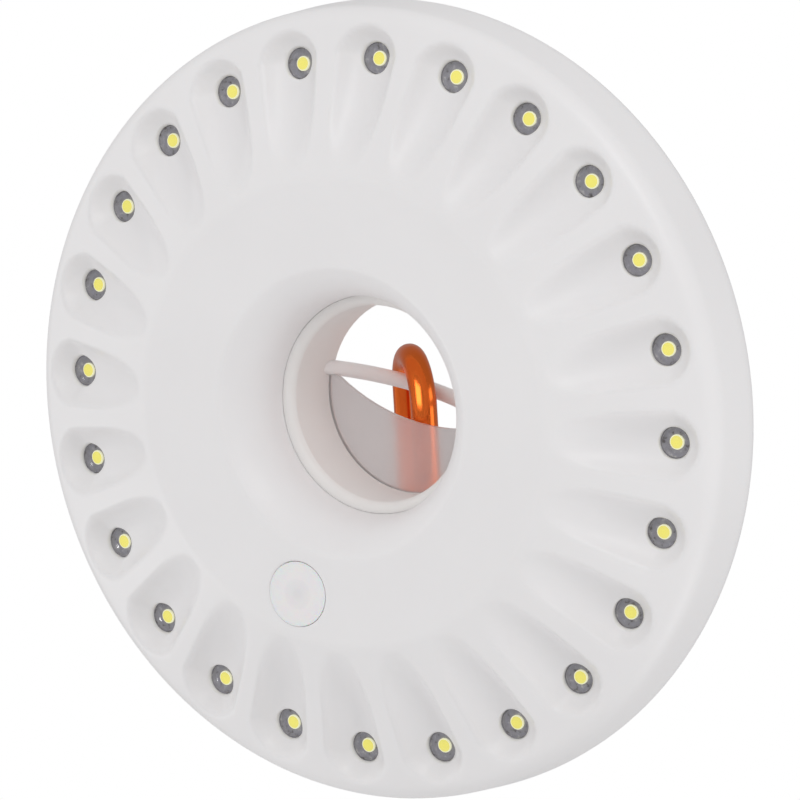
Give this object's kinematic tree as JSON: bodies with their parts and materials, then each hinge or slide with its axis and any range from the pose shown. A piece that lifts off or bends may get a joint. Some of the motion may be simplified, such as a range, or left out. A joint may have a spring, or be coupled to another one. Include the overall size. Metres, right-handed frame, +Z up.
{
  "type": "hanging camping light",
  "caption": "Round white camping light with lamps in finger grooves round its face, a push button, a wide centre hole and a snap hook on an arched bar behind.",
  "frame": {"origin": "on the lamp's axis, in the flat plane of the back, where the hanging bar crosses the centre hole", "axes": "+X to the right seen from the front, +Y to the back, +Z up; the lamps face -Y"},
  "size_m": [0.1264, 0.0405, 0.1264],
  "materials": {
    "shell_white": "satin moulded, slightly translucent where thin",
    "bar_white": "satin moulded",
    "lens_clear": "clear cast resin",
    "die_yellow": "phosphor",
    "tinned_steel": "tinned",
    "board_tan": "laminate",
    "chip_black": "matte",
    "button_silicone": "translucent silicone",
    "switch_black": "matte",
    "screw_steel": "zinc plated",
    "cell_jacket": "plain printed jacket, no text",
    "door_white": "satin moulded",
    "wire_red": "insulated",
    "wire_yellow": "insulated",
    "wire_black": "insulated",
    "hook_orange": "orange anodised"
  },
  "bodies": {
    "lamp": {"front_cover": "shell_white", "back_cover": "shell_white", "hanger_bar": "bar_white", "led_lenses": "lens_clear", "led_dies": "die_yellow", "led_leads": "tinned_steel", "led_board": "board_tan", "resistors": "chip_black", "switch_body": "switch_black", "switch_board": "board_tan", "cover_screws": "screw_steel", "board_screws": "screw_steel", "battery_cell_1": "cell_jacket", "battery_cell_2": "cell_jacket", "battery_cell_3": "cell_jacket", "battery_cell_4": "cell_jacket", "contact_plates": "tinned_steel", "contact_leaf_springs": "tinned_steel", "wire_red": "wire_red", "wire_yellow": "wire_yellow", "wire_black": "wire_black", "wire_link": "wire_black"},
    "button": {"button_cap": "button_silicone", "switch_plunger": "switch_black"},
    "door_left": {"battery_door_left": "door_white"},
    "door_right": {"battery_door_right": "door_white"},
    "hook": {"hook_body": "hook_orange", "gate_pin": "screw_steel"},
    "gate": {"hook_gate": "hook_orange", "gate_spring": "screw_steel"}
  },
  "joints": [
    {"name": "button_press", "type": "slide", "parent": "lamp", "child": "button", "axis": [0, 1, 0], "range_m": [0, 0.001], "stiffness_N_per_m": 400, "springref_m": -0.001},
    {"name": "door_left_swing", "type": "hinge", "parent": "lamp", "child": "door_left", "pos_m": [-0.03103, 0, 0.0256], "axis": [1, 0, 0], "range_deg": [0, 80]},
    {"name": "door_right_swing", "type": "hinge", "parent": "lamp", "child": "door_right", "pos_m": [0.03103, 0, 0.0256], "axis": [1, 0, 0], "range_deg": [0, 80]},
    {"name": "hook_swing", "type": "hinge", "parent": "lamp", "child": "hook", "pos_m": [-0.0037, 0.00557, 0.00064], "axis": [0.9648, 0.1767, -0.1945], "range_deg": [0, 150]},
    {"name": "gate_open", "type": "hinge", "parent": "hook", "child": "gate", "pos_m": [-0.00897, 0.01509, -0.02677], "axis": [0.6982, 0.7072, 0.1115], "range_deg": [0, 20], "stiffness_Nm_per_rad": 0.02, "springref_deg": -17.19}
  ]
}
